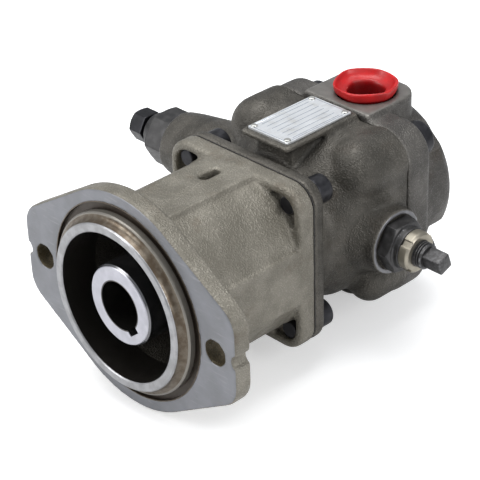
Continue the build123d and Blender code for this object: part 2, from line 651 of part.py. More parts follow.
def stop_plug():
    """The hexagonal threaded plug that carries the stop screw; its inner end is bored out for the pad."""
    plug = hexagon_x(22.0, STOP_BOSS_X - 1.1, STOP_BOSS_X + 5.6)
    plug += along_x(9.6, STOP_BOSS_X + 4, STOP_PLUG_END)
    plug += along_x(STOP_BORE_R + 2 - SEATED, STOP_BOSS_X - 10, STOP_BOSS_X)
    plug -= along_x(STOP_BORE_R, STOP_BOSS_X - 12, STOP_PAD_END + STOP_TRAVEL + FACE_GAP)
    return plug - along_x(STOP_SCREW_R + RUNNING, STOP_BOSS_X - 12, STOP_PLUG_END + 1)


def stop_locknut():
    nut = along_x(9.3, STOP_PLUG_END + 0.1, LOCKNUT_END)
    nut = chamfer(edges_at(nut, Axis.X, LOCKNUT_END), 1.0)
    for i in range(4):
        angle = 45 + 90 * i
        notch = Pos(0, CONTROL_Y, 0) * Rot(angle, 0, 0) * Pos(LOCKNUT_END - 2, 0, 9.4) * Box(6, 3, 2)
        nut -= notch
    return nut - along_x(STOP_SCREW_R + RUNNING, STOP_PLUG_END - 1, LOCKNUT_END + 1)


def stop_screw():
    thread_end = LOCKNUT_END + 4.5
    square_end = LOCKNUT_END + 13.8
    screw = along_x(STOP_SCREW_R, STOP_PAD_END + 0.1, thread_end)
    screw = chamfer(edges_at(screw, Axis.X, thread_end), 1.0)
    square = box(thread_end - 1, square_end, CONTROL_Y - 3.6, CONTROL_Y + 3.6, -3.6, 3.6)
    square = chamfer(edges_at(square, Axis.X, square_end), 0.9)
    return screw + Pos(0, CONTROL_Y, 0) * Rot(20, 0, 0) * Pos(0, -CONTROL_Y, 0) * square


def stop_pad():
    """The plunger between the stop screw and the cam ring."""
    pad = along_x(STOP_BORE_R - RUNNING, STOP_PAD_X, STOP_PAD_END)
    return chamfer(edges_at(pad, Axis.X, STOP_PAD_X), 0.8)


# ---- pressure spring, at -X ----------------------------------------------------------------------

SPRING_PLUG_END = SPRING_BOSS_X - 12.5
SPRING_NUT_END = SPRING_PLUG_END - 5.5
SPRING_HEAD_END = SPRING_NUT_END - 12.5
SPRING_SCREW_R = 5.0
PRESSURE_PITCH = 1.5
PRESSURE_TRAVEL = 6.0
INNER_SEAT_X = -(RING_OUT_R - 0.6) + ECCENTRICITY - FACE_GAP
INNER_SEAT_THICK = 5.0
PUSHER_R = 8.5
PUSHER_LENGTH = CHAMBER_R + ECCENTRICITY + 1.0 + INNER_SEAT_X
OUTER_SEAT_X = SPRING_BOSS_X + 16
OUTER_SEAT_THICK = 6.0
SPRING_WIRE_R = 1.7
SPRING_COIL_R = 8.0
SPRING_COILS = 7


def spring_plug():
    plug = hexagon_x(25.0, SPRING_BOSS_X - 0.1, SPRING_PLUG_END)
    plug += along_x(SPRING_BORE_R - SEATED, SPRING_BOSS_X - 1, SPRING_BOSS_X + 9)
    return plug - along_x(SPRING_SCREW_R + RUNNING, SPRING_PLUG_END - 1, SPRING_BOSS_X + 10)


def spring_locknut():
    nut = cone_x(SPRING_PLUG_END - 0.1, 10.4, SPRING_NUT_END, 9.2)
    return nut - along_x(SPRING_SCREW_R + RUNNING, SPRING_NUT_END - 1, SPRING_PLUG_END + 1)


def pressure_screw():
    head = hexagon_x(14.5, SPRING_NUT_END - PRESSURE_TRAVEL / 2 - 0.4, SPRING_HEAD_END)
    return head + along_x(SPRING_SCREW_R, SPRING_HEAD_END + 2, OUTER_SEAT_X - 0.1)


def spring_seat(start, thick, nose):
    """A spring plate; nose is the side that its centring spigot points to."""
    low, high = sorted((start, start + thick * nose))
    seat = along_x(SPRING_BORE_R - 0.2, low, high)
    shoulder = high if nose > 0 else low
    end = shoulder + 4 * nose
    return seat + along_x(SPRING_COIL_R - SPRING_WIRE_R - 0.4, min(shoulder, end), max(shoulder, end))


def inner_spring_seat():
    """The seat at the cam ring: its nose reaches through the chamber's wall to push on the ring."""
    face = INNER_SEAT_X - PUSHER_LENGTH
    nose = along_x(PUSHER_R, face - 1, INNER_SEAT_X)
    return spring_seat(face, INNER_SEAT_THICK, -1) + chamfer(edges_at(nose, Axis.X, INNER_SEAT_X), 0.6)


def pressure_spring():
    start = OUTER_SEAT_X + OUTER_SEAT_THICK + 0.1
    end = INNER_SEAT_X - PUSHER_LENGTH - INNER_SEAT_THICK - 0.1
    length = end - start - 2 * SPRING_WIRE_R
    path = Helix(length / SPRING_COILS, length, SPRING_COIL_R)
    coil = sweep(Plane(origin=path @ 0, z_dir=path % 0) * Circle(SPRING_WIRE_R), path, is_frenet=True)
    return Pos(start + SPRING_WIRE_R, CONTROL_Y, 0) * Rot(0, 90, 0) * coil


# ---- write the nodes -----------------------------------------------------------------------------


def main():
    save(adapter_housing(), "adapter_housing")
    save(joint_gasket(), "joint_gasket")
    save(pump_body(), "pump_body")
    save(valve_cover(), "valve_cover")
    save(adapter_screws(), "adapter_screws")
    save(cover_screws(), "cover_screws")
    save(nameplate(), "nameplate")
    save(drive_pins(), "nameplate_pins")
    save(inlet_plug(), "inlet_plug")
    save(coupling_hub(), "coupling_hub")
    save(hub_set_screw(), "hub_set_screw")
    save(drive_shaft(), "drive_shaft")
    save(shaft_key(), "shaft_key")
    save(vane_rotor(), "vane_rotor")
    for i in range(VANES):
        save(vane(i), f"vane_{i + 1:02d}")
    save(cam_ring(), "cam_ring")
    save(port_plate(CHAMBER_FRONT_Y, RING_FRONT_Y, False), "front_port_plate")
    save(port_plate(RING_REAR_Y, RING_REAR_Y + REAR_PLATE_THICK, True), "rear_port_plate")
    save(bearing_race(BALL_PATH_R + 1.6, BEARING_R), "front_bearing_outer_race")
    save(bearing_race(JOURNAL_R + SEATED, BALL_PATH_R - 1.6), "front_bearing_inner_race")
    save(bearing_balls(), "front_bearing_balls")
    save(ball_cage(), "front_bearing_cage")
    save(shaft_seal(), "shaft_seal")
    save(seal_circlip(), "seal_circlip")
    save(rear_bush(), "rear_bush")
    save(stop_plug(), "stop_plug")
    save(stop_locknut(), "stop_locknut")
    save(stop_screw(), "stop_screw")
    save(stop_pad(), "stop_pad")
    save(spring_plug(), "spring_plug")
    save(spring_locknut(), "spring_locknut")
    save(pressure_screw(), "pressure_screw")
    save(inner_spring_seat(), "inner_spring_seat")
    save(spring_seat(OUTER_SEAT_X, OUTER_SEAT_THICK, 1), "outer_spring_seat")
    save(pressure_spring(), "pressure_spring")


main()
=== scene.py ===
"""The vane pump as it looks: sand castings, turned steel, black screws and a red transit plug."""
import json
import math

import bpy
from mathutils import Matrix, Vector


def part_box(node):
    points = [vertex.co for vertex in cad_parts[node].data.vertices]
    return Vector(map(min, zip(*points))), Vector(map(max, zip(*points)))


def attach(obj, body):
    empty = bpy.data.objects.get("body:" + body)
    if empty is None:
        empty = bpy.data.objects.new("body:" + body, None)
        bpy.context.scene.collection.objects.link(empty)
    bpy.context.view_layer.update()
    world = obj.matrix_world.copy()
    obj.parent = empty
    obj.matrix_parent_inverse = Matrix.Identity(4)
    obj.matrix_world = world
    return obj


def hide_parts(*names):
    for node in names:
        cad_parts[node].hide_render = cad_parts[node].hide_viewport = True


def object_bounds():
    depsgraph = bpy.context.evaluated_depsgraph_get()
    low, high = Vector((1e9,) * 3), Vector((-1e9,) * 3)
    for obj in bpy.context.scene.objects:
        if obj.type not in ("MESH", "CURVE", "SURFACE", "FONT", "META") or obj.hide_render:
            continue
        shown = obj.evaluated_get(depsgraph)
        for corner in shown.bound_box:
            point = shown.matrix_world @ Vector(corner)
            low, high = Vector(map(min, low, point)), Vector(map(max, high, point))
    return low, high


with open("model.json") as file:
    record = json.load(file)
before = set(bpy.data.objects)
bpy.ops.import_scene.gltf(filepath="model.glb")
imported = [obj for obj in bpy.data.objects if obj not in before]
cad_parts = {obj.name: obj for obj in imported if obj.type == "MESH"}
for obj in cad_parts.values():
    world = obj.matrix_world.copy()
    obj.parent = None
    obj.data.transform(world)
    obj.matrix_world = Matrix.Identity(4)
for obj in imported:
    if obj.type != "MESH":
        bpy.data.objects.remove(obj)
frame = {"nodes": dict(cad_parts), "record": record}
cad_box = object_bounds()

# Lengths are in mm, and MM turns them into Blender's metres. The shaft runs along +Y, from the coupling to
# the rear, and the adapter's mounting face is at Y = 0.
MM = 0.001
HOLE_SPAN = 106.4           # between the flange's two bolt holes
CONTROL_Y = 112.0           # middle of the cam ring and of both adjusting screws
PORT_FACE_Z = 45.2          # faced top of the inlet boss
GRAIN_SIZE = 0.85           # sand grain on the castings
SPIGOT_BORE_R = 33.78
SPIGOT_LAND_R = 41.28
SPIGOT_FRONT = -6.33
SPIGOT_BACK = 12.0
SPIGOT_SEAT_R = 45.0        # outer edge of the turned piece, past the outer wall of its groove
HUB_R, HUB_BORE_R, HUB_NIP = 18.4, 11.11, 1.0
KEY_TURN = math.radians(51)

BODY_OF = {node: body for body, nodes in frame["record"]["behaviour"]["bodies"].items() for node in nodes}
SLOT_OF = {part["node"]: part["material_slot"] for part in frame["record"]["subparts"]}

# ---- finishes ------------------------------------------------------------------------------------


class Finish:
    """A material under construction: the Principled shader and the nodes that feed it."""

    def __init__(self, name, metallic=0.0):
        self.material = bpy.data.materials.new(name)
        self.material.use_nodes = True
        self.tree = self.material.node_tree
        self.shader = self.tree.nodes["Principled BSDF"]
        self.shader.inputs["Metallic"].default_value = metallic
        self.place = self.add("ShaderNodeTexCoord").outputs["Object"]

    def add(self, kind, **settings):
        node = self.tree.nodes.new(kind)
        for key, value in settings.items():
            setattr(node, key, value)
        return node

    def join(self, source, target):
        self.tree.links.new(source, target)

    def noise(self, size_mm, detail=3.0, roughness=0.55, stretch=None):
        """Noise whose lumps are about size_mm across."""
        texture = self.add("ShaderNodeTexNoise")
        texture.inputs["Scale"].default_value = 1.0 / (size_mm * MM)
        texture.inputs["Detail"].default_value = detail
        texture.inputs["Roughness"].default_value = roughness
        source = self.place
        if stretch:
            mapping = self.add("ShaderNodeMapping")
            mapping.inputs["Scale"].default_value = stretch
            self.join(source, mapping.inputs["Vector"])
            source = mapping.outputs["Vector"]
        self.join(source, texture.inputs["Vector"])
        return texture.outputs["Fac"]

    def grains(self, size_mm):
        """Round grains about size_mm across: 1 on their tops, 0 between them."""
        cells = self.add("ShaderNodeTexVoronoi", feature="SMOOTH_F1")
        cells.inputs["Scale"].default_value = 1.0 / (size_mm * MM)
        cells.inputs["Smoothness"].default_value = 0.5
        cells.inputs["Randomness"].default_value = 1.0
        self.join(self.place, cells.inputs["Vector"])
        return self.span(cells.outputs["Distance"], 0.05, 0.62, 1.0, 0.0)

    def span(self, value, low, high, out_low=0.0, out_high=1.0):
        """Maps low..high to out_low..out_high, held at both ends."""
        ramp = self.add("ShaderNodeMapRange", interpolation_type="SMOOTHSTEP")
        self.join(value, ramp.inputs["Value"])
        limits = {"From Min": low, "From Max": high, "To Min": out_low, "To Max": out_high}
        for key, number in limits.items():
            ramp.inputs[key].default_value = number
        return ramp.outputs["Result"]

    def patches(self, size_mm, detail, low, high, out_low=0.0, out_high=1.0, roughness=0.55):
        """Patches about size_mm across: out_low where the noise is low, out_high where it is high."""
        return self.span(self.noise(size_mm, detail, roughness), low, high, out_low, out_high)

    def blend(self, amount, first, second):
        """A colour that goes from first to second as amount goes from 0 to 1."""
        mix = self.add("ShaderNodeMix", data_type="RGBA")
        self.join(amount, mix.inputs["Factor"])
        for socket, colour in ((mix.inputs["A"], first), (mix.inputs["B"], second)):
            if isinstance(colour, tuple):
                socket.default_value = (*colour, 1.0)
            else:
                self.join(colour, socket)
        return mix.outputs["Result"]

    def number(self, operation, first, second=0.0):
        """One step of arithmetic, where each term is a number or another node's output."""
        step = self.add("ShaderNodeMath", operation=operation)
        for socket, value in zip(step.inputs, (first, second)):
            if isinstance(value, (int, float)):
                socket.default_value = value
            else:
                self.join(value, socket)
        return step.outputs["Value"]

    def below(self, value, limit_mm):
        """1 where value is under limit_mm, 0 elsewhere."""
        return self.number("LESS_THAN", value, limit_mm * MM)

    def above(self, value, limit_mm):
        """1 where value is over limit_mm, 0 elsewhere."""
        return self.number("GREATER_THAN", value, limit_mm * MM)

    def axis(self, name):
        if not hasattr(self, "split"):
            self.split = self.add("ShaderNodeSeparateXYZ")
            self.join(self.place, self.split.inputs["Vector"])
        return self.split.outputs[name]

    def distance(self, across, upward):
        squares = [self.number("MULTIPLY", offset, offset) for offset in (across, upward)]
        return self.number("SQRT", self.number("ADD", *squares))

    def radius(self):
        """Distance from the shaft's axis."""
        return self.distance(self.axis("X"), self.axis("Z"))

    def hole_distance(self):
        """Distance from the axis of the nearer flange hole."""
        beside = self.number("SUBTRACT", self.number("ABSOLUTE", self.axis("X")), HOLE_SPAN / 2 * MM)
        return self.distance(beside, self.axis("Z"))

    def edge(self, low, high):
        """From 0 to 1 as the surface goes from low to high in pointiness: 0.5 is flat, more is raised."""
        return self.span(self.add("ShaderNodeNewGeometry").outputs["Pointiness"], low, high)

    def bump(self, height, depth_mm, strength=1.0):
        """Raises the surface by height, on top of the bumps that it already has."""
        bump = self.add("ShaderNodeBump")
        bump.inputs["Strength"].default_value = strength
        bump.inputs["Distance"].default_value = depth_mm * MM
        self.join(height, bump.inputs["Height"])
        if hasattr(self, "last_bump"):
            self.join(self.last_bump, bump.inputs["Normal"])
        self.last_bump = bump.outputs["Normal"]
        self.join(self.last_bump, self.shader.inputs["Normal"])

    def colour(self, socket):
        self.join(socket, self.shader.inputs["Base Color"])

    def rough(self, socket):
        self.join(socket, self.shader.inputs["Roughness"])


def tint(colour, factor):
    """A colour made lighter or darker."""
    return tuple(factor * part for part in colour)


def cast_colour(finish, tones, grain, mottle_mm, pitting, stain_mm, stains, raised, painted_corner_shade):
    """Sand-cast iron: mottled, grainy and stained, pale on its edges, with painted shade darkening its
    corners.
    """
    colour = finish.blend(finish.patches(mottle_mm, 4, 0.35, 0.68), tones["dark"], tones["pale"])
    colour = finish.blend(finish.span(grain, 0.30, 1.0, 0.0, 0.16), colour, tones["crest"])
    colour = finish.blend(finish.span(grain, 0.05, 0.60, pitting, 0.0), colour, tones["pit"])
    stain_from, stain_strength = stains
    stain = finish.patches(stain_mm, 5, stain_from, 0.74, 0.0, stain_strength, roughness=0.65)
    colour = finish.blend(stain, colour, tones["stain"])
    colour = finish.blend(finish.edge(*raised), colour, tones["raised"])
    # painted shade: where pointiness is low, in corners and hollows, the colour is darkened
    return finish.blend(finish.edge(*painted_corner_shade), colour, tones["painted_corner_shade"])


def cast_surface(finish, grain, lump_mm, cut, cast_rough, cut_rough):
    """The casting's lumps, grain and roughness. Where cut is 1 it is machined: smooth, with no grain."""
    cast = finish.number("SUBTRACT", 1.0, cut)
    finish.bump(finish.number("MULTIPLY", finish.noise(lump_mm), cast), 0.7, 0.5)
    finish.bump(finish.number("MULTIPLY", grain, cast), 0.26, 0.8)
    rough_part = finish.number("MULTIPLY", finish.patches(5, 3, 0.3, 0.7, *cast_rough), cast)
    smooth_part = finish.number("MULTIPLY", finish.patches(3, 2, 0.3, 0.7, *cut_rough), cut)
    finish.rough(finish.number("ADD", rough_part, smooth_part))


def sand_casting(name, dark, pale, stain, machined, bright):
    """Oiled sand-cast iron, cut bright past both (test, axis, limit in mm) that machined lists."""
    finish = Finish(name, metallic=0.45)
    # the darkest tone, used in the corners, is painted shade
    tones = {"dark": dark, "pale": pale, "crest": tint(pale, 1.45), "pit": tint(dark, 0.5), "stain": stain,
             "raised": tint(pale, 1.5), "painted_corner_shade": tint(dark, 0.35)}
    grain = finish.grains(GRAIN_SIZE)
    colour = cast_colour(finish, tones, grain, 14, 0.25, 22, (0.56, 0.6), (0.515, 0.56), (0.495, 0.44))
    faces = [finish.number(test, finish.axis(axis_name), limit * MM) for test, axis_name, limit in machined]
    cut = finish.number("MAXIMUM", *faces)
    steel = finish.blend(finish.patches(9, 4, 0.3, 0.7), bright, tint(bright, 0.72))
    finish.colour(finish.blend(cut, colour, steel))
    cast_surface(finish, grain, 4.0, cut, (0.42, 0.62), (0.3, 0.42))
    return finish.material


def adapter_iron():
    """The adapter's casting: sandy, with a faced front, painted shade in its turned cavity and brown bolt
    holes.
    """
    finish = Finish("adapter_iron", metallic=0.45)
    # the darkest tone, used in the corners, is painted shade
    tones = {"dark": (0.165, 0.153, 0.124), "pale": (0.235, 0.219, 0.182), "crest": (0.36, 0.345, 0.305),
             "pit": (0.090, 0.080, 0.064), "stain": (0.100, 0.075, 0.050), "raised": (0.36, 0.335, 0.29),
             "painted_corner_shade": (0.050, 0.040, 0.031)}
    grain = finish.grains(GRAIN_SIZE)
    colour = cast_colour(finish, tones, grain, 12, 0.22, 20, (0.54, 0.55), (0.53, 0.60), (0.490, 0.42))
    y, r = finish.axis("Y"), finish.radius()
    faced = finish.below(y, 0.3)
    steel = finish.blend(finish.patches(16, 3, 0.3, 0.7), (0.215, 0.220, 0.238), (0.175, 0.178, 0.190))
    scratch = finish.span(finish.noise(1.2, 3, stretch=(0.12, 1.0, 1.0)), 0.55, 0.75, 0.0, 0.5)
    steel = finish.blend(scratch, steel, (0.30, 0.30, 0.31))
    colour = finish.blend(faced, colour, steel)
    # painted shade: the turned cavity behind the spigot is coloured near black
    cavity_shade = finish.number("MULTIPLY", finish.below(r, 34.6), finish.above(y, -5.9))
    colour = finish.blend(cavity_shade, colour, (0.052, 0.047, 0.038))
    in_holes = finish.number("MULTIPLY", finish.below(finish.hole_distance(), 5.9), finish.above(y, 0.4))
    finish.colour(finish.blend(in_holes, colour, (0.085, 0.068, 0.038)))
    cast_surface(finish, grain, 4.2, faced, (0.40, 0.58), (0.34, 0.42))
    return finish.material


def spigot_iron():
    """The turned spigot: a bright front rim, a brown cove behind it, a dull locating land, and painted shade
    in its groove and its bore.
    """
    finish = Finish("spigot_iron", metallic=0.6)
    y, r = finish.axis("Y"), finish.radius()
    brown = finish.blend(finish.patches(3.5, 4, 0.35, 0.66), (0.085, 0.062, 0.040), (0.150, 0.125, 0.095))
    grey = finish.blend(finish.patches(5, 3, 0.35, 0.65), (0.36, 0.36, 0.37), (0.28, 0.28, 0.285))
    colour = finish.blend(finish.below(y, -5.65), brown, grey)
    land = finish.number("MULTIPLY", finish.above(r, 40.4), finish.below(r, 41.5))
    colour = finish.blend(land, colour, (0.22, 0.205, 0.18))
    # painted shade: behind Y = 0.5, in the relief groove and on the back, the colour is darkened
    groove = finish.above(y, 0.5)
    colour = finish.blend(groove, colour, (0.045, 0.034, 0.025))
    # painted shade: the bore is coloured near black
    bore = finish.number("MULTIPLY", finish.below(r, 33.95), finish.above(y, -5.7))
    finish.colour(finish.blend(bore, colour, (0.026, 0.023, 0.020)))
    finish.rough(finish.patches(2.5, 3, 0.3, 0.7, 0.28, 0.42))
    finish.bump(finish.noise(0.8, 2), 0.03, 0.5)
    return finish.material


def turned_steel(name, colour, rough, metallic=0.95):
    """Steel off the lathe: faint rings round the shaft and a few darker smears."""
    finish = Finish(name, metallic)
    rings = finish.add("ShaderNodeTexWave", wave_type="RINGS", rings_direction="Y")
    rings.inputs["Scale"].default_value = 1.0 / (3.5 * MM)
    rings.inputs["Distortion"].default_value = 0.4
    finish.join(finish.place, rings.inputs["Vector"])
    finish.colour(finish.blend(finish.patches(7, 4, 0.35, 0.7), colour, tint(colour, 0.78)))
    finish.rough(finish.patches(2.5, 3, 0.3, 0.7, rough, rough + 0.1))
    finish.bump(rings.outputs["Fac"], 0.01, 0.35)
    return finish.material


def hub_steel():
    """The hub: painted light on its faced front, a painted dark reflection on its polished outside, and
    painted shade in its bore.
    """
    finish = Finish("hub_steel", metallic=0.92)
    faced = finish.below(finish.axis("Y"), -3.3)
    inside = finish.below(finish.radius(), 11.6)
    # painted reflection: one steel is coloured dark on the polished outside, and pale on the faced front as
    # painted light
    side = finish.blend(finish.patches(9, 3, 0.35, 0.7), (0.20, 0.20, 0.21), (0.15, 0.15, 0.155))
    front = finish.blend(finish.patches(6, 4, 0.35, 0.7), (0.50, 0.50, 0.545), (0.43, 0.43, 0.47))
    colour = finish.blend(faced, side, front)
    # painted shade: the bore is coloured dark
    finish.colour(finish.blend(inside, colour, (0.085, 0.080, 0.075)))
    finish.rough(finish.number("ADD", finish.patches(2, 3, 0.3, 0.7, 0.17, 0.24),
                               finish.number("MULTIPLY", faced, 0.20)))
    finish.bump(finish.noise(0.5, 2, stretch=(1.0, 0.1, 1.0)), 0.01, 0.4)
    return finish.material


def black_steel(name, colour, rough, metallic=0.7, worn=True):
    """Blackened or phosphated steel, rubbed pale on its edges where worn."""
    finish = Finish(name, metallic)
    shade = finish.blend(finish.patches(4, 4, 0.35, 0.7), colour, tint(colour, 1.7))
    if worn:
        rub = finish.number("MULTIPLY", finish.edge(0.53, 0.60), finish.patches(1.5, 3, 0.40, 0.66))
        shade = finish.blend(rub, shade, (0.24, 0.24, 0.25))
    finish.colour(shade)
    finish.rough(finish.patches(2, 3, 0.3, 0.7, rough, rough + 0.16))
    finish.bump(finish.noise(0.7, 2), 0.04, 0.5)
    return finish.material


def red_plug():
    """Soft red plastic, scuffed on its rim, with painted shade down in its well and a painted contact shadow
    at the foot of its rim.
    """
    finish = Finish("red_plug")
    colour = finish.blend(finish.patches(6, 3, 0.35, 0.7), (0.50, 0.005, 0.006), (0.38, 0.003, 0.004))
    scuff = finish.number("MULTIPLY", finish.edge(0.51, 0.57), finish.patches(1.6, 3, 0.36, 0.6))
    colour = finish.blend(scuff, colour, (0.70, 0.14, 0.12))
    # painted shade: the colour darkens towards the bottom, down in the well and round the foot of the rim,
    # where it makes a painted contact shadow
    depth = finish.span(finish.axis("Z"), 43.0 * MM, 47.6 * MM, 0.85, 0.0)
    finish.colour(finish.blend(depth, colour, (0.12, 0.001, 0.002)))
    finish.rough(finish.patches(3, 2, 0.3, 0.7, 0.34, 0.48))
    finish.shader.inputs["Subsurface Weight"].default_value = 0.08
    finish.shader.inputs["Subsurface Radius"].default_value = (0.004, 0.001, 0.001)
    finish.bump(finish.noise(5, 2), 0.15, 0.5)
    return finish.material


def plain_plate():
    """A blank rating plate: brushed metal with a border and empty ruled rows."""
    border_inset, border_width, row_height, row_margin = 0.9, 0.25, 3.1, 5.5
    finish = Finish("plain_plate", metallic=0.55)
    low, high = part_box("nameplate")
    half_x, half_y = (high[0] - low[0]) / 2, (high[1] - low[1]) / 2
    x, y = finish.axis("X"), finish.axis("Y")
    across = finish.number("ABSOLUTE", finish.number("SUBTRACT", x, (low[0] + high[0]) / 2))
    along = finish.number("ABSOLUTE", finish.number("SUBTRACT", y, (low[1] + high[1]) / 2))

    def inside(inset_mm):
        """1 further than inset_mm in from the plate's edges, 0 nearer."""
        return finish.number("MULTIPLY", finish.number("LESS_THAN", across, half_x - inset_mm * MM),
                             finish.number("LESS_THAN", along, half_y - inset_mm * MM))

    panel = inside(border_inset + border_width)
    border = finish.number("SUBTRACT", inside(border_inset), panel)
    rows = finish.number("DIVIDE", finish.number("SUBTRACT", x, low[0]), row_height * MM)
    lines = finish.number("LESS_THAN", finish.number("FRACT", rows), 0.09)
    middle = finish.number("LESS_THAN", along, half_y - row_margin * MM)
    lines = finish.number("MULTIPLY", lines, finish.number("MULTIPLY", panel, middle))
    brushed = finish.noise(0.5, 2, stretch=(1.0, 0.06, 1.0))
    colour = finish.blend(brushed, (0.62, 0.64, 0.66), (0.76, 0.78, 0.80))
    grime = finish.patches(7, 4, 0.5, 0.75, 0.0, 0.4)
    colour = finish.blend(grime, colour, (0.45, 0.43, 0.38))
    ink = finish.number("MAXIMUM", border, lines)
    finish.colour(finish.blend(ink, colour, (0.16, 0.20, 0.27)))
    finish.rough(finish.span(brushed, 0.3, 0.7, 0.28, 0.42))
    finish.bump(brushed, 0.02, 0.4)
    return finish.material


def rubber(name, colour):
    """Dull black rubber or joint sheet."""
    finish = Finish(name)
    finish.colour(finish.blend(finish.noise(3), colour, tint(colour, 2)))
    finish.rough(finish.patches(1.5, 3, 0.3, 0.7, 0.55, 0.75))
    finish.bump(finish.noise(0.6, 2), 0.05, 0.5)
    return finish.material


FINISHES = {
    "grey_casting": adapter_iron(),
    "dark_casting": sand_casting("body_iron", dark=(0.050, 0.046, 0.038), pale=(0.102, 0.094, 0.080),
                                 stain=(0.045, 0.034, 0.024), bright=(0.20, 0.20, 0.21),
                                 machined=(("GREATER_THAN", "X", 49.2), ("LESS_THAN", "X", -86.9))),
    "cover_casting": sand_casting("cover_iron", dark=(0.062, 0.058, 0.053), pale=(0.120, 0.113, 0.103),
                                  stain=(0.050, 0.038, 0.027), bright=(0.20, 0.19, 0.175),
                                  machined=(("GREATER_THAN", "Z", 44.9), ("LESS_THAN", "Z", -51.6))),
    "gasket": rubber("joint_sheet", (0.012, 0.011, 0.010)),
    "black_screws": black_steel("black_screws", (0.022, 0.022, 0.025), 0.30),
    "plate": plain_plate(),
    "pins": turned_steel("drive_pins", (0.60, 0.60, 0.57), 0.28, 0.9),
    "red_plastic": red_plug(),
    "hub_steel": hub_steel(),
    "ground_steel": turned_steel("ground_steel", (0.42, 0.42, 0.44), 0.24),
    "vane_steel": turned_steel("vane_steel", (0.50, 0.50, 0.52), 0.20),
    "bronze": turned_steel("port_bronze", (0.46, 0.30, 0.14), 0.30, 0.9),
    "bearing_steel": turned_steel("bearing_steel", (0.62, 0.62, 0.64), 0.12),
    "seal_rubber": rubber("seal_rubber", (0.010, 0.010, 0.011)),
    "dark_fitting": black_steel("phosphate_steel", (0.045, 0.044, 0.044), 0.34),
    "black_cap": black_steel("black_cap", (0.016, 0.016, 0.018), 0.28),
    "pale_nut": turned_steel("zinc_nut", (0.36, 0.33, 0.27), 0.34, 0.85),
    "spring_steel": black_steel("spring_wire", (0.10, 0.10, 0.105), 0.3, 0.9, worn=False),
}

for node_name, node in frame["nodes"].items():
    for material_slot in node.material_slots:
        material_slot.material = FINISHES[SLOT_OF[node_name]]

# ---- workshop ------------------------------------------------------------------------------------


def pick(piece):
    """Makes piece the only selected object, and the active one."""
    bpy.ops.object.select_all(action="DESELECT")
    piece.select_set(True)
    bpy.context.view_layer.objects.active = piece


def apply_modifier(piece, kind, **settings):
    pick(piece)
    modifier = piece.modifiers.new(kind.lower(), kind)
    for key, value in settings.items():
        setattr(modifier, key, value)
    bpy.ops.object.modifier_apply(modifier=modifier.name)


def edit_all(piece):
    """Opens piece for editing, with all of it selected."""
    pick(piece)
    bpy.ops.object.mode_set(mode="EDIT")
    bpy.ops.mesh.select_all(action="SELECT")


def leave_edit():
    bpy.ops.object.mode_set(mode="OBJECT")


def settle():
    """Moves the selected piece's place, turn and scale into its mesh."""
    bpy.ops.object.transform_apply(location=True, rotation=True, scale=True)


def smooth_by(piece, degrees):
    pick(piece)
    bpy.ops.object.shade_smooth_by_angle(angle=math.radians(degrees))


def fit_out(piece, node):
    """Gives a piece the finish and the body of the node that it stands for."""
    piece.data.materials.clear()
    piece.data.materials.append(FINISHES[SLOT_OF[node]])
    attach(piece, BODY_OF[node])
    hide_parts(node)


def welded(node, name):
    """A copy of a node's surface with its loose triangles sewn together, standing for that node."""
    piece = bpy.data.objects.new(name, frame["nodes"][node].data.copy())
    bpy.context.scene.collection.objects.link(piece)
    edit_all(piece)
    bpy.ops.mesh.remove_doubles(threshold=2e-6)
    leave_edit()
    fit_out(piece, node)
    return piece


def soften(piece, voxel_mm, passes):
    """Rebuilds a surface in even small faces and rounds its corners a little more at each pass."""
    apply_modifier(piece, "REMESH", mode="VOXEL", voxel_size=voxel_mm * MM, use_smooth_shade=True)
    apply_modifier(piece, "SMOOTH", factor=0.5, iterations=passes)


def casting(node, name, voxel_mm, passes):
    """A casting or forging with soft corners."""
    piece = welded(node, name)
    soften(piece, voxel_mm, passes)
    pick(piece)
    bpy.ops.object.shade_smooth()
    return piece


def crisp(node, name):
    """A machined piece: smooth round its curves and sharp at its edges."""
    smooth_by(welded(node, name), 32)


def turned(name, profile, axis, centre=(0.0, 0.0, 0.0), sides=144, closed=False):
    """A lathe piece: a ring pushed along and resized from step to step of its (radius, distance) profile."""
    bpy.ops.object.select_all(action="DESELECT")
    radius, at = profile[0]
    bpy.ops.mesh.primitive_circle_add(vertices=sides, radius=radius * MM)
    piece = bpy.context.active_object
    piece.name = name
    edit_all(piece)
    if closed:
        push = bpy.ops.mesh.extrude_edges_move
    else:
        bpy.ops.mesh.edge_face_add()
        push = bpy.ops.mesh.extrude_region_move
    bpy.ops.transform.translate(value=(0, 0, at * MM))
    for next_radius, next_at in profile[1:]:
        push()
        bpy.ops.transform.translate(value=(0, 0, (next_at - at) * MM))
        growth = next_radius / radius
        bpy.ops.transform.resize(value=(growth, growth, 1), center_override=(0, 0, next_at * MM))
        radius, at = next_radius, next_at
    bpy.ops.mesh.select_all(action="SELECT")
    bpy.ops.mesh.remove_doubles(threshold=1e-6)
    bpy.ops.mesh.normals_make_consistent(inside=False)
    leave_edit()
    piece.rotation_euler = {"X": (0, math.pi / 2, 0), "Y": (-math.pi / 2, 0, 0)}[axis]
    piece.location = [offset * MM for offset in centre]
    settle()
    return piece


def disc(x, z, radius, start, end):
    """A plain cylinder along the shaft's direction, from Y = start to Y = end."""
    bpy.ops.object.select_all(action="DESELECT")
    bpy.ops.mesh.primitive_cylinder_add(vertices=64, radius=radius * MM, depth=(end - start) * MM,
                                        location=(x * MM, (start + end) / 2 * MM, z * MM),
                                        rotation=(math.pi / 2, 0, 0))
    return bpy.context.active_object


def joined(pieces):
    """One object out of several."""
    bpy.ops.object.select_all(action="DESELECT")
    for piece in pieces:
        piece.select_set(True)
    bpy.context.view_layer.objects.active = pieces[0]
    bpy.ops.object.join()
    settle()
    return pieces[0]


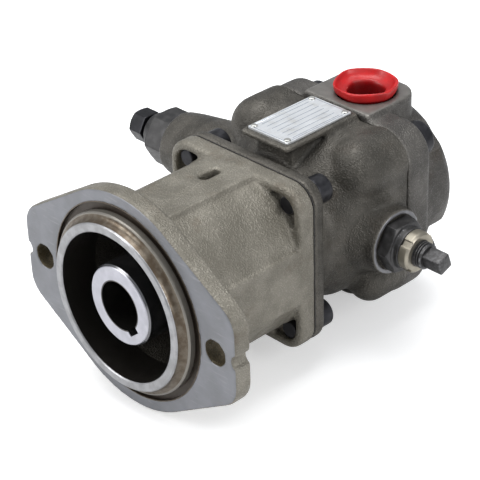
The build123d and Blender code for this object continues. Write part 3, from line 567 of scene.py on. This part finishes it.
def bored(piece, cutter):
    """Cuts cutter out of piece and throws the cutter away."""
    apply_modifier(piece, "BOOLEAN", operation="DIFFERENCE", solver="EXACT", object=cutter)
    bpy.data.objects.remove(cutter)


# ---- pieces --------------------------------------------------------------------------------------


def shoulder():
    """The body's shoulder, drawn out from the round neck to the square corners of the cover joint."""
    shoulder_end = 125.9
    discs = [disc(0, 0, 33.5, 88, 90), disc(0, 0, 38.0, 98, 100)]
    discs += [disc(side * 28.6, 27.6, 15.0, 112, shoulder_end) for side in (1, -1)]
    discs += [disc(side * 34.0, 4.0, 9.6, 119, shoulder_end) for side in (1, -1)]
    hull = joined(discs)
    edit_all(hull)
    bpy.ops.mesh.convex_hull()
    leave_edit()
    return hull


def body_casting():
    """The pump's body with its shoulder, bored for the bearing, the cam ring and both adjusting screws."""
    hull = shoulder()
    body = joined([welded("pump_body", "pump_body_casting"), hull])
    soften(body, 0.95, 9)
    seal_r, bearing_r, chamber_r = 17.5, 21.02, 34.2
    shaft_bores = [(seal_r, 74.9), (seal_r, 83), (bearing_r, 83), (bearing_r, 97), (chamber_r, 97),
                   (chamber_r, 140)]
    bored(body, turned("shaft_bores", shaft_bores, "Y", sides=128))
    control_centre = (0, CONTROL_Y, 0)
    stop_bore = [(7.0, 20), (7.0, 39.6), (9.0, 39.6), (9.0, 51)]
    bored(body, turned("stop_bore", stop_bore, "X", control_centre, sides=128))
    spring_bore = [(11.5, -89), (11.5, -20)]
    bored(body, turned("spring_bore", spring_bore, "X", control_centre, sides=128))


def adapter_casting():
    """The adapter, hollowed to take the turned spigot, the groove round it and the cavity behind it."""
    cavity_r = 33.9
    room = [(SPIGOT_SEAT_R, -9.0), (SPIGOT_SEAT_R, 2.9), (38.2, SPIGOT_BACK), (cavity_r, SPIGOT_BACK),
            (cavity_r, 71.5)]
    adapter = casting("adapter_housing", "adapter_casting", 0.82, 4)
    bored(adapter, turned("spigot_room", room, "Y", sides=192))


def coupling_hub():
    """The hub off the lathe, with nipped corners, a ring groove in its bore and a keyway all along."""
    front, back = (corner[1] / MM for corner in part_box("coupling_hub"))
    groove_start, groove_end, groove_r = 24.9, 26.8, HUB_BORE_R + 0.6
    profile = [(HUB_BORE_R, front), (HUB_R - HUB_NIP, front), (HUB_R, front + HUB_NIP),
               (HUB_R, back - HUB_NIP), (HUB_R - HUB_NIP, back), (HUB_BORE_R, back),
               (HUB_BORE_R, groove_end), (groove_r, groove_end), (groove_r, groove_start),
               (HUB_BORE_R, groove_start), (HUB_BORE_R, front)]
    hub = turned("hub_turned", profile, "Y", sides=128, closed=True)
    keyway_floor, keyway_width, cutter_length, cutter_middle = 13.505, 6.35, 80, 26
    bpy.ops.object.select_all(action="DESELECT")
    bpy.ops.mesh.primitive_cube_add(size=MM, scale=(keyway_floor, cutter_length, keyway_width),
                                    rotation=(0, KEY_TURN, 0),
                                    location=(keyway_floor / 2 * MM * math.cos(KEY_TURN), cutter_middle * MM,
                                              -keyway_floor / 2 * MM * math.sin(KEY_TURN)))
    bored(hub, bpy.context.active_object)
    smooth_by(hub, 30)
    fit_out(hub, "coupling_hub")


def turned_spigot():
    """The machined ring that locates the flange: front rim, cove, land and the relief groove's floor."""
    rim = [(SPIGOT_BORE_R, -5.9), (34.3, SPIGOT_FRONT), (37.3, SPIGOT_FRONT), (37.82, -5.85)]
    cove = [(38.0, -4.9), (38.4, -4.0), (39.0, -3.2), (39.8, -2.65), (40.8, -2.42)]
    land = [(SPIGOT_LAND_R, -1.9), (SPIGOT_LAND_R, 1.57)]
    groove = [(44.58, 1.57), (44.62, -0.02), (SPIGOT_SEAT_R, -0.02), (SPIGOT_SEAT_R, 3.0)]
    back = [(38.0, SPIGOT_BACK), (SPIGOT_BORE_R, SPIGOT_BACK)]
    profile = back[-1:] + rim + cove + land + groove + back
    spigot = turned("turned_spigot", profile, "Y", sides=192, closed=True)
    spigot.data.materials.append(spigot_iron())
    smooth_by(spigot, 32)
    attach(spigot, "housing")


def stop_screw():
    """The stop screw: a threaded stem and the square that a spanner turns."""
    crest_r, root_r, tip_r, pitch = 5.9, 5.2, 0.5, 1.25
    thread_start, thread_turns = 57.0, 8
    stem = [(tip_r, 42.4), (crest_r, 42.4), (crest_r, thread_start)]
    for turn_number in range(thread_turns):
        at = thread_start + turn_number * pitch
        stem += [(root_r, at + 0.30), (root_r, at + 0.45), (crest_r, at + 0.80), (crest_r, at + pitch)]
    end = thread_start + thread_turns * pitch + 0.5
    stem += [(5.1, end), (tip_r, end)]
    thread = turned("stop_screw_thread", stem, "X", (0, CONTROL_Y, 0), sides=64)
    smooth_by(thread, 32)
    square_width, square_stretch, square_middle, square_nip = 7.2, 1.46, 71.5, 0.7
    bpy.ops.object.select_all(action="DESELECT")
    bpy.ops.mesh.primitive_cube_add(size=square_width * MM, location=(square_middle * MM, CONTROL_Y * MM, 0))
    square = bpy.context.active_object
    square.name = "stop_screw_square"
    square.rotation_euler = (math.radians(20), 0, 0)
    square.scale = (square_stretch, 1.0, 1.0)
    settle()
    apply_modifier(square, "BEVEL", width=square_nip * MM, segments=3, limit_method="ANGLE",
                   angle_limit=math.radians(40))
    smooth_by(square, 40)
    for piece in (thread, square):
        fit_out(piece, "stop_screw")


# the plug's rings from its skirt over the rim to the floor of its well: radius, height over the port's
# face, and what else is done to the ring
PLUG_RINGS = ((13.3, -6.0, ""), (13.3, -0.3, ""), (13.6, 0.05, ""), (15.4, 0.05, ""), (16.2, 0.9, ""),
              (16.7, 3.6, ""), (16.6, 4.3, "knocked"), (15.8, 4.35, "knocked"), (15.4, 3.9, ""),
              (14.2, 1.9, ""), (12.2, 1.0, ""), (10.6, 0.9, "rounded"), (9.8, 0.2, ""), (9.5, -2.5, ""),
              (9.2, -10.5, ""), (6.0, -11.0, ""), (2.0, -11.1, ""))


def transit_plug():
    """The transit plug: a soft hexagonal cup round a well, with a rim that has been knocked about."""
    low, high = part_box("inlet_plug")
    radius, height, _ = PLUG_RINGS[0]
    bpy.ops.object.select_all(action="DESELECT")
    bpy.ops.mesh.primitive_circle_add(vertices=6, radius=radius * MM, rotation=(0, 0, math.radians(24)))
    cup = bpy.context.active_object
    cup.name = "red_transit_plug"
    settle()
    edit_all(cup)
    bpy.ops.mesh.bevel(offset=2.6 * MM, affect="VERTICES")
    bpy.ops.transform.translate(value=(0, 0, height * MM))
    for next_radius, next_height, touch in PLUG_RINGS[1:]:
        bpy.ops.mesh.extrude_edges_move()
        bpy.ops.transform.translate(value=(0, 0, (next_height - height) * MM))
        growth = next_radius / radius
        bpy.ops.transform.resize(value=(growth, growth, 1), center_override=(0, 0, next_height * MM))
        if touch == "rounded":
            bpy.ops.transform.tosphere(value=1.0)
        if touch == "knocked":
            bpy.ops.transform.vertex_random(offset=0.42 * MM, uniform=0.5, seed=5)
        radius, height = next_radius, next_height
    bpy.ops.mesh.edge_face_add()
    bpy.ops.mesh.select_all(action="SELECT")
    bpy.ops.mesh.normals_make_consistent(inside=False)
    leave_edit()
    apply_modifier(cup, "SUBSURF", levels=3, render_levels=3)
    cup.location = ((low[0] + high[0]) / 2, (low[1] + high[1]) / 2, PORT_FACE_Z * MM)
    settle()
    smooth_by(cup, 50)
    fit_out(cup, "inlet_plug")


body_casting()
casting("valve_cover", "valve_cover_casting", 0.9, 5)
adapter_casting()
for forged_node, forged_voxel in (("adapter_screws", 0.42), ("cover_screws", 0.45), ("stop_plug", 0.32),
                                  ("stop_locknut", 0.25), ("spring_plug", 0.36), ("spring_locknut", 0.32),
                                  ("pressure_screw", 0.32)):
    casting(forged_node, forged_node + "_finished", forged_voxel, 1)
for machined_node in ("nameplate", "nameplate_pins", "hub_set_screw", "drive_shaft", "joint_gasket",
                      "shaft_seal", "seal_circlip"):
    crisp(machined_node, machined_node + "_finished")
coupling_hub()
turned_spigot()
stop_screw()
transit_plug()

# ---- floor, light and camera ---------------------------------------------------------------------


def pale_paper():
    """White paper that keeps the shadows and looks a little brighter to the camera than to the object."""
    paper = bpy.data.materials.new("pale_paper")
    paper.use_nodes = True
    nodes, links = paper.node_tree.nodes, paper.node_tree.links
    shader = nodes["Principled BSDF"]
    shader.inputs["Base Color"].default_value = (0.86, 0.86, 0.86, 1)
    shader.inputs["Roughness"].default_value = 0.9
    shader.inputs["Specular IOR Level"].default_value = 0.0
    glow = nodes.new("ShaderNodeEmission")
    glow.inputs["Color"].default_value = (1, 1, 1, 1)
    glow.inputs["Strength"].default_value = 0.42
    seen = nodes.new("ShaderNodeLightPath")
    glowing = nodes.new("ShaderNodeAddShader")
    chosen = nodes.new("ShaderNodeMixShader")
    links.new(shader.outputs[0], glowing.inputs[0])
    links.new(glow.outputs[0], glowing.inputs[1])
    links.new(seen.outputs["Is Camera Ray"], chosen.inputs[0])
    links.new(shader.outputs[0], chosen.inputs[1])
    links.new(glowing.outputs[0], chosen.inputs[2])
    links.new(chosen.outputs[0], nodes["Material Output"].inputs["Surface"])
    return paper


def pale_floor():
    """A wide floor just under the lowest point of the part."""
    bpy.ops.object.select_all(action="DESELECT")
    bpy.ops.mesh.primitive_plane_add(size=6.0, location=(0, 0, 0))
    floor = bpy.context.active_object
    floor.name = "pale_floor"
    edit_all(floor)
    bpy.ops.transform.translate(value=(0, 0, cad_box[0][2] - 0.2 * MM))
    leave_edit()
    floor.data.materials.append(pale_paper())


def studio_world():
    """A faint cool room light, seen as plain white by the camera."""
    world = bpy.data.worlds.new("studio")
    world.use_nodes = True
    bpy.context.scene.world = world
    nodes, links = world.node_tree.nodes, world.node_tree.links
    room = nodes["Background"]
    room.inputs["Color"].default_value = (0.92, 0.95, 1.0, 1)
    room.inputs["Strength"].default_value = 0.45
    white = nodes.new("ShaderNodeBackground")
    white.inputs["Color"].default_value = (1, 1, 1, 1)
    white.inputs["Strength"].default_value = 1.0
    seen = nodes.new("ShaderNodeLightPath")
    chosen = nodes.new("ShaderNodeMixShader")
    links.new(seen.outputs["Is Camera Ray"], chosen.inputs[0])
    links.new(room.outputs[0], chosen.inputs[1])
    links.new(white.outputs[0], chosen.inputs[2])
    links.new(chosen.outputs[0], nodes["World Output"].inputs["Surface"])


def softbox(name, place, target, size, power):
    """A rectangular lamp at place, in metres, that faces target."""
    light = bpy.data.lights.new(name, "AREA")
    light.shape = "RECTANGLE"
    light.size, light.size_y = size
    light.energy = power
    lamp = bpy.data.objects.new(name, light)
    bpy.context.scene.collection.objects.link(lamp)
    lamp.location = place
    lamp.rotation_euler = (Vector(target) - Vector(place)).to_track_quat("-Z", "Y").to_euler()


def studio_camera(place, forward, right, lens):
    """A camera at place, in metres, that looks along forward with right to its right."""
    data = bpy.data.cameras.new("camera")
    data.lens = lens
    data.sensor_width = 36.0
    data.clip_start = 0.01
    camera = bpy.data.objects.new("camera", data)
    bpy.context.scene.collection.objects.link(camera)
    forward, right = forward.normalized(), right.normalized()
    turn = Matrix((right, right.cross(forward), -forward)).transposed().to_4x4()
    camera.matrix_world = Matrix.Translation(place) @ turn
    bpy.context.scene.camera = camera


pale_floor()
studio_world()
softbox("overhead", (-0.15, 0.10, 0.95), (0, 0.06, 0), (0.9, 0.7), 9.0)
softbox("front_left", (-0.55, -0.75, 0.55), (0, 0.05, 0), (0.5, 0.6), 6.0)
softbox("right_side", (0.95, 0.15, 0.45), (0, 0.08, 0), (0.4, 0.6), 4.5)
studio_camera((0.47216, -0.37749, 0.38989), Vector((-0.62520, 0.58674, -0.51465)),
              Vector((0.69700, 0.71645, -0.02989)), 130.56)
bpy.context.scene.view_settings.view_transform = "Standard"
